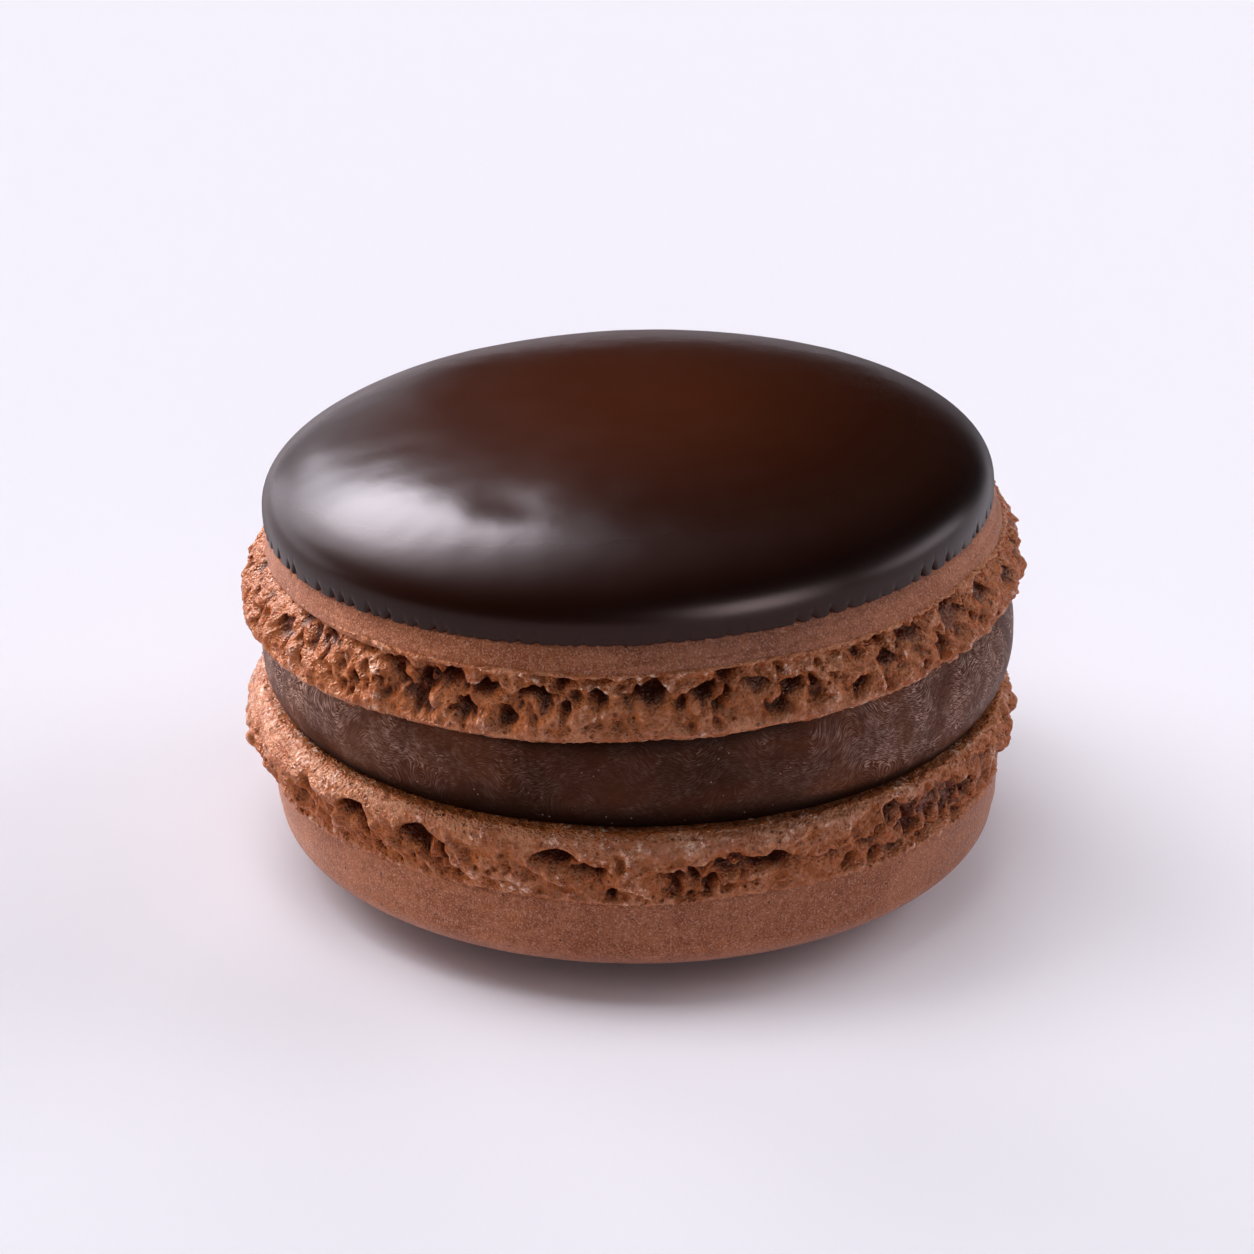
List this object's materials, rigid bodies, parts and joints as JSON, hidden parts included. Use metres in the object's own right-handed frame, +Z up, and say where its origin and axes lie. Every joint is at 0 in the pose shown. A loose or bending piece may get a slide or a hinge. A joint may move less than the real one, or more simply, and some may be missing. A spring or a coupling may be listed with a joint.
{
  "type": "chocolate macaron",
  "caption": "Chocolate macaron: a ganache layer between craggy-footed almond shells, the tilted upper shell under a smooth dark chocolate coating.",
  "frame": {"origin": "under the middle of the macaron, on the surface it rests on", "axes": "+Z up through the stack, +X towards the side where the ganache is thickest, -Y towards the front that the picture shows"},
  "size_m": [0.0451, 0.045, 0.0273],
  "materials": {
    "almond_shell": "baked almond and cocoa meringue: matte fine-grained dome, craggy porous foot",
    "ganache": "satin dark chocolate ganache with fine swirled streaks",
    "dark_coating": "smooth satin-gloss dark chocolate coating with a finely crimped edge"
  },
  "bodies": {
    "root": {"lower_shell": "almond_shell", "ganache_filling": "ganache", "upper_shell": "almond_shell", "chocolate_coating": "dark_coating"}
  },
  "joints": []
}
